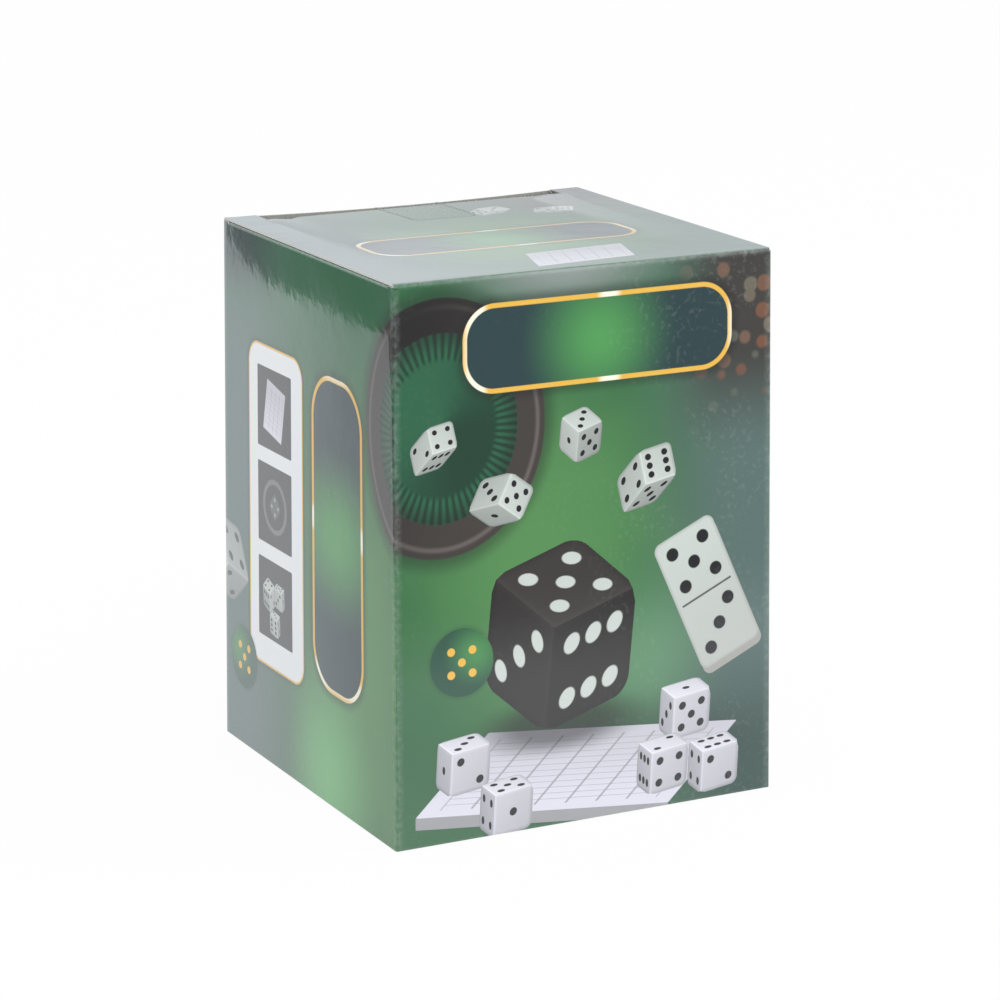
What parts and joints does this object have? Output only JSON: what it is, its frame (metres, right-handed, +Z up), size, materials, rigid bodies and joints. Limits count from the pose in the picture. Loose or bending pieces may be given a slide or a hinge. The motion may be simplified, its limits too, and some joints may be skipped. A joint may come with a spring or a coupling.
{
  "type": "dice game set",
  "caption": "Square upright folding carton with a tuck-in lid, holding a felt-lined dice cup, pipped dice and a score pad.",
  "frame": {"origin": "on the ground under the middle of the carton", "axes": "+Z up; -Y out of the front wall, to whose top edge the lid is creased; +X to the right seen from the front"},
  "size_m": [0.09, 0.09, 0.1187],
  "materials": {
    "printed_board": "gloss laminate",
    "clear_film": "clear gloss",
    "black_leatherette": "grained",
    "cup_board": "matt",
    "green_felt": "ribbed felt",
    "die_plastic": "polished",
    "grey_board": "matt",
    "white_paper": "matt",
    "gum": "satin"
  },
  "bodies": {
    "carton": {"front_wall": "printed_board", "back_wall": "printed_board", "left_wall": "printed_board", "right_wall": "printed_board", "glue_flap": "printed_board", "bottom_front_flap": "printed_board", "bottom_left_flap": "printed_board", "bottom_right_flap": "printed_board", "bottom_back_flap": "printed_board"},
    "lid": {"lid_panel": "printed_board", "seal_sticker": "clear_film"},
    "tuck": {"tuck_flap": "printed_board"},
    "left_dust": {"left_dust_flap": "printed_board"},
    "right_dust": {"right_dust_flap": "printed_board"},
    "cup": {"cup_cover": "black_leatherette", "cup_core": "cup_board", "cup_base": "cup_board", "cup_rim_band": "black_leatherette", "cup_lining": "green_felt", "cup_lining_floor": "green_felt"},
    "pad": {"pad_backing_board": "grey_board", "pad_sheets": "white_paper", "pad_top_sheet": "white_paper", "pad_glue_binding": "gum"},
    "die_1": {"die_1": "die_plastic"},
    "die_2": {"die_2": "die_plastic"},
    "die_3": {"die_3": "die_plastic"},
    "die_4": {"die_4": "die_plastic"},
    "die_5": {"die_5": "die_plastic"}
  },
  "joints": [
    {"name": "lid_hinge", "type": "hinge", "parent": "carton", "child": "lid", "pos_m": [0, -0.043, 0.1186], "axis": [1, 0, 0], "range_deg": [0, 160]},
    {"name": "tuck_crease", "type": "hinge", "parent": "lid", "child": "tuck", "pos_m": [0, 0.0422, 0.11815], "axis": [1, 0, 0], "range_deg": [0, 10]},
    {"name": "left_dust_crease", "type": "hinge", "parent": "carton", "child": "left_dust", "pos_m": [-0.0441, 0, 0.11805], "axis": [0, -1, 0], "range_deg": [0, 88]},
    {"name": "right_dust_crease", "type": "hinge", "parent": "carton", "child": "right_dust", "pos_m": [0.0441, 0, 0.11805], "axis": [0, 1, 0], "range_deg": [0, 88]},
    {"name": "cup_lift", "type": "slide", "parent": "carton", "child": "cup", "axis": [0, 0, 1], "range_m": [0, 0.016]},
    {"name": "pad_lift", "type": "slide", "parent": "carton", "child": "pad", "axis": [0, 0, 1], "range_m": [0, 0.0065]},
    {"name": "die_1_lift", "type": "slide", "parent": "cup", "child": "die_1", "axis": [0, 0, 1], "range_m": [0, 0.08]},
    {"name": "die_2_lift", "type": "slide", "parent": "cup", "child": "die_2", "axis": [0, 0, 1], "range_m": [0, 0.08]},
    {"name": "die_3_lift", "type": "slide", "parent": "cup", "child": "die_3", "axis": [0, 0, 1], "range_m": [0, 0.08]},
    {"name": "die_4_lift", "type": "slide", "parent": "cup", "child": "die_4", "axis": [0, 0, 1], "range_m": [0, 0.08]},
    {"name": "die_5_lift", "type": "slide", "parent": "cup", "child": "die_5", "axis": [0, 0, 1], "range_m": [0, 0.08]}
  ],
  "couplings": [
    {"joint": "tuck_crease", "follows": "lid_hinge", "ratio": 0.06},
    {"joint": "left_dust_crease", "follows": "lid_hinge", "ratio": 0.55},
    {"joint": "right_dust_crease", "follows": "lid_hinge", "ratio": 0.55}
  ]
}
